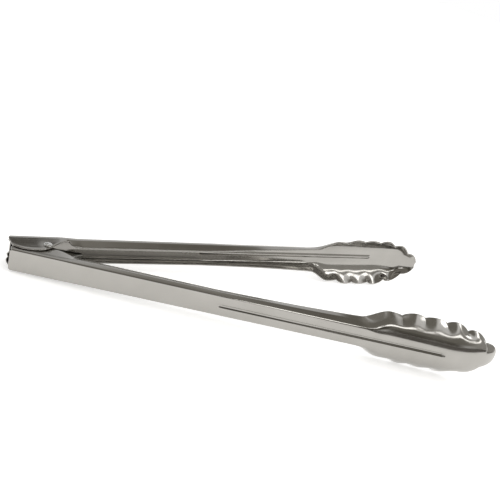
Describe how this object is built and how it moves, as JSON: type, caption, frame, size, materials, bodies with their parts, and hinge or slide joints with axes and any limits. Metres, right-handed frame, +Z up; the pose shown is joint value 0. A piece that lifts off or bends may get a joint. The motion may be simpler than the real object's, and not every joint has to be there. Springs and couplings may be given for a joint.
{
  "type": "kitchen tongs",
  "caption": "Spring loaded kitchen tongs with stamped channel arms and scalloped scoops, riveted at one end and held open by a torsion spring.",
  "frame": {"origin": "on the surface that the tongs lie on, under the centre of their bounding box", "axes": "+X along the middle line between the open arms, from the pivot end to the scoops; +Y to the outer arm's side; +Z up from the surface. The pivot axis leans 2.5 degrees off +Z, because the scoops are wider than the pivot end and the tongs rest on both."},
  "size_m": [0.3027, 0.1318, 0.0392],
  "materials": {
    "outer_arm_steel": "polished lengthwise, faint drawn lines",
    "inner_arm_steel": "polished lengthwise, faint drawn lines",
    "rivet_steel": "bright formed head",
    "spring_wire": "drawn spring wire"
  },
  "bodies": {
    "outer_arm": {"outer_arm": "outer_arm_steel", "pivot_rivet": "rivet_steel", "torsion_spring": "spring_wire"},
    "inner_arm": {"inner_arm": "inner_arm_steel"}
  },
  "joints": [
    {"name": "squeeze", "type": "hinge", "parent": "outer_arm", "child": "inner_arm", "pos_m": [-0.12851, 0, 0.00919], "axis": [-0.0443, 0, 0.999], "range_deg": [0, 24], "stiffness_Nm_per_rad": 0.8, "springref_deg": -17.19, "deforming": ["torsion_spring"]}
  ]
}
